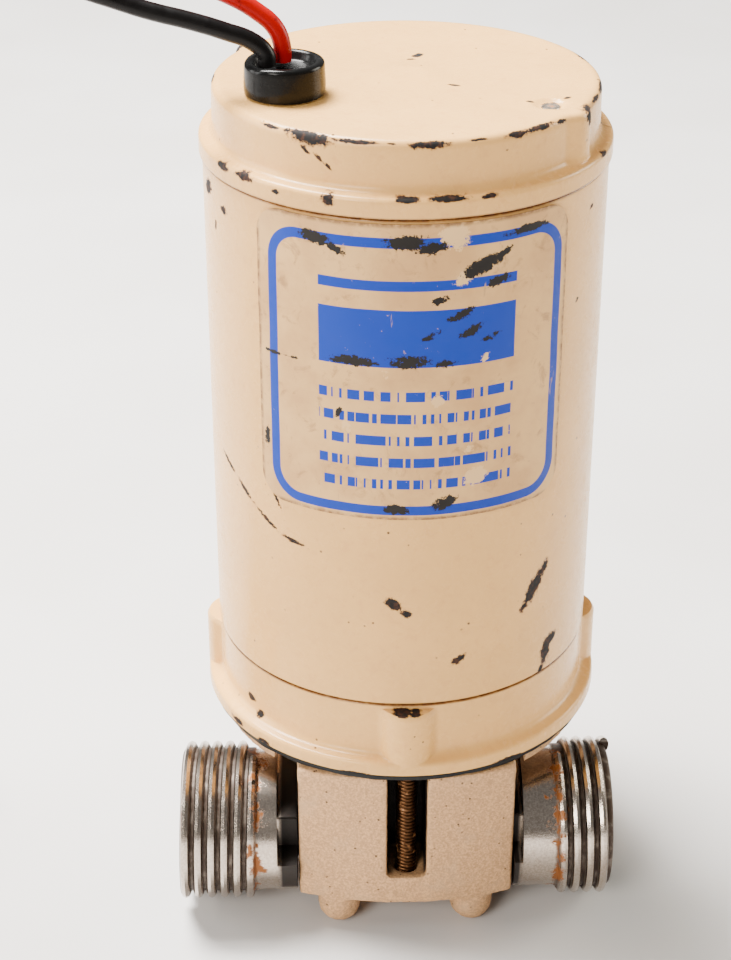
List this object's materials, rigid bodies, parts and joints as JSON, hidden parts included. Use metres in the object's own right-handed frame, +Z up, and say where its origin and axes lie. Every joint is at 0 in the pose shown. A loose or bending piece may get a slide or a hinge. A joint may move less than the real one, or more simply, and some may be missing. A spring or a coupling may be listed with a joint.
{
  "type": "bilge pump",
  "caption": "Electric bilge pump: cream DC motor standing on a cast flexible-impeller head with threaded hose ports in line, flying leads from a top grommet.",
  "frame": {"origin": "middle of the pump's footprint, on the plane of the four cast feet", "axes": "+Z up along the motor, +X towards the right port, -Y is the front with the rating label"},
  "size_m": [0.157, 0.0674, 0.162],
  "materials": {
    "cream_enamel": "glossy enamel, chipped",
    "cast_alloy": "sandy cast, unpainted",
    "plated_brass": "plated, tarnished",
    "plated_steel": "plated, tarnished",
    "ground_steel": "ground",
    "core_steel": "stacked laminations",
    "bronze": "sintered bronze and brass",
    "copper": "enamelled copper",
    "ferrite": "matte ceramic",
    "carbon": "pressed carbon",
    "black_rubber": "moulded rubber",
    "black_vinyl": "vinyl sheath",
    "red_vinyl": "vinyl sheath",
    "fibre_board": "laminated board",
    "gasket_paper": "gasket paper",
    "label_film": "printed film"
  },
  "bodies": {
    "pump": {"top_end_bell": "cream_enamel", "motor_can": "cream_enamel", "bottom_end_bell": "cream_enamel", "magnet_left": "ferrite", "magnet_right": "ferrite", "top_bush": "bronze", "bottom_bush": "bronze", "through_bolt_left": "plated_steel", "through_bolt_right": "plated_steel", "brush_card": "fibre_board", "brush_holder_left": "bronze", "brush_holder_right": "bronze", "lead_grommet": "black_rubber", "rating_label": "label_film", "flange_gasket": "black_rubber", "pump_body": "cast_alloy", "left_port": "plated_brass", "right_port": "plated_brass", "left_port_ring": "black_rubber", "right_port_ring": "black_rubber", "shaft_seal": "black_rubber", "wear_plate": "ground_steel", "cam": "bronze", "cover_gasket": "gasket_paper", "pump_cover": "cast_alloy", "cover_screw_front": "plated_steel", "cover_screw_left": "plated_steel", "cover_screw_right": "plated_steel", "head_screw_front": "plated_steel", "head_screw_right": "plated_steel", "head_screw_rear": "plated_steel", "head_screw_left": "plated_steel", "black_lead": "black_vinyl", "red_lead": "red_vinyl", "lead_sleeve": "black_vinyl", "lead_coil": "black_vinyl", "coil_tie": "black_vinyl", "red_terminal": "red_vinyl", "black_terminal": "black_vinyl"},
    "rotor": {"rotor_shaft": "ground_steel", "armature_core": "core_steel", "winding_top": "copper", "winding_bottom": "copper", "commutator": "copper", "top_thrust_washer": "fibre_board", "bottom_thrust_washer": "fibre_board", "water_slinger": "black_rubber", "impeller": "black_rubber"},
    "brush_left": {"brush_left": "carbon", "brush_spring_left": "ground_steel"},
    "brush_right": {"brush_right": "carbon", "brush_spring_right": "ground_steel"}
  },
  "joints": [
    {"name": "rotor_spin", "type": "hinge", "parent": "pump", "child": "rotor", "pos_m": [0.0015, 0, 0.07], "axis": [0, 0, 1], "continuous": true},
    {"name": "brush_left_slide", "type": "slide", "parent": "pump", "child": "brush_left", "axis": [-1, 0, 0], "range_m": [0, 0.002], "stiffness_N_per_m": 200, "springref_m": -0.002},
    {"name": "brush_right_slide", "type": "slide", "parent": "pump", "child": "brush_right", "axis": [1, 0, 0], "range_m": [0, 0.002], "stiffness_N_per_m": 200, "springref_m": -0.002}
  ]
}
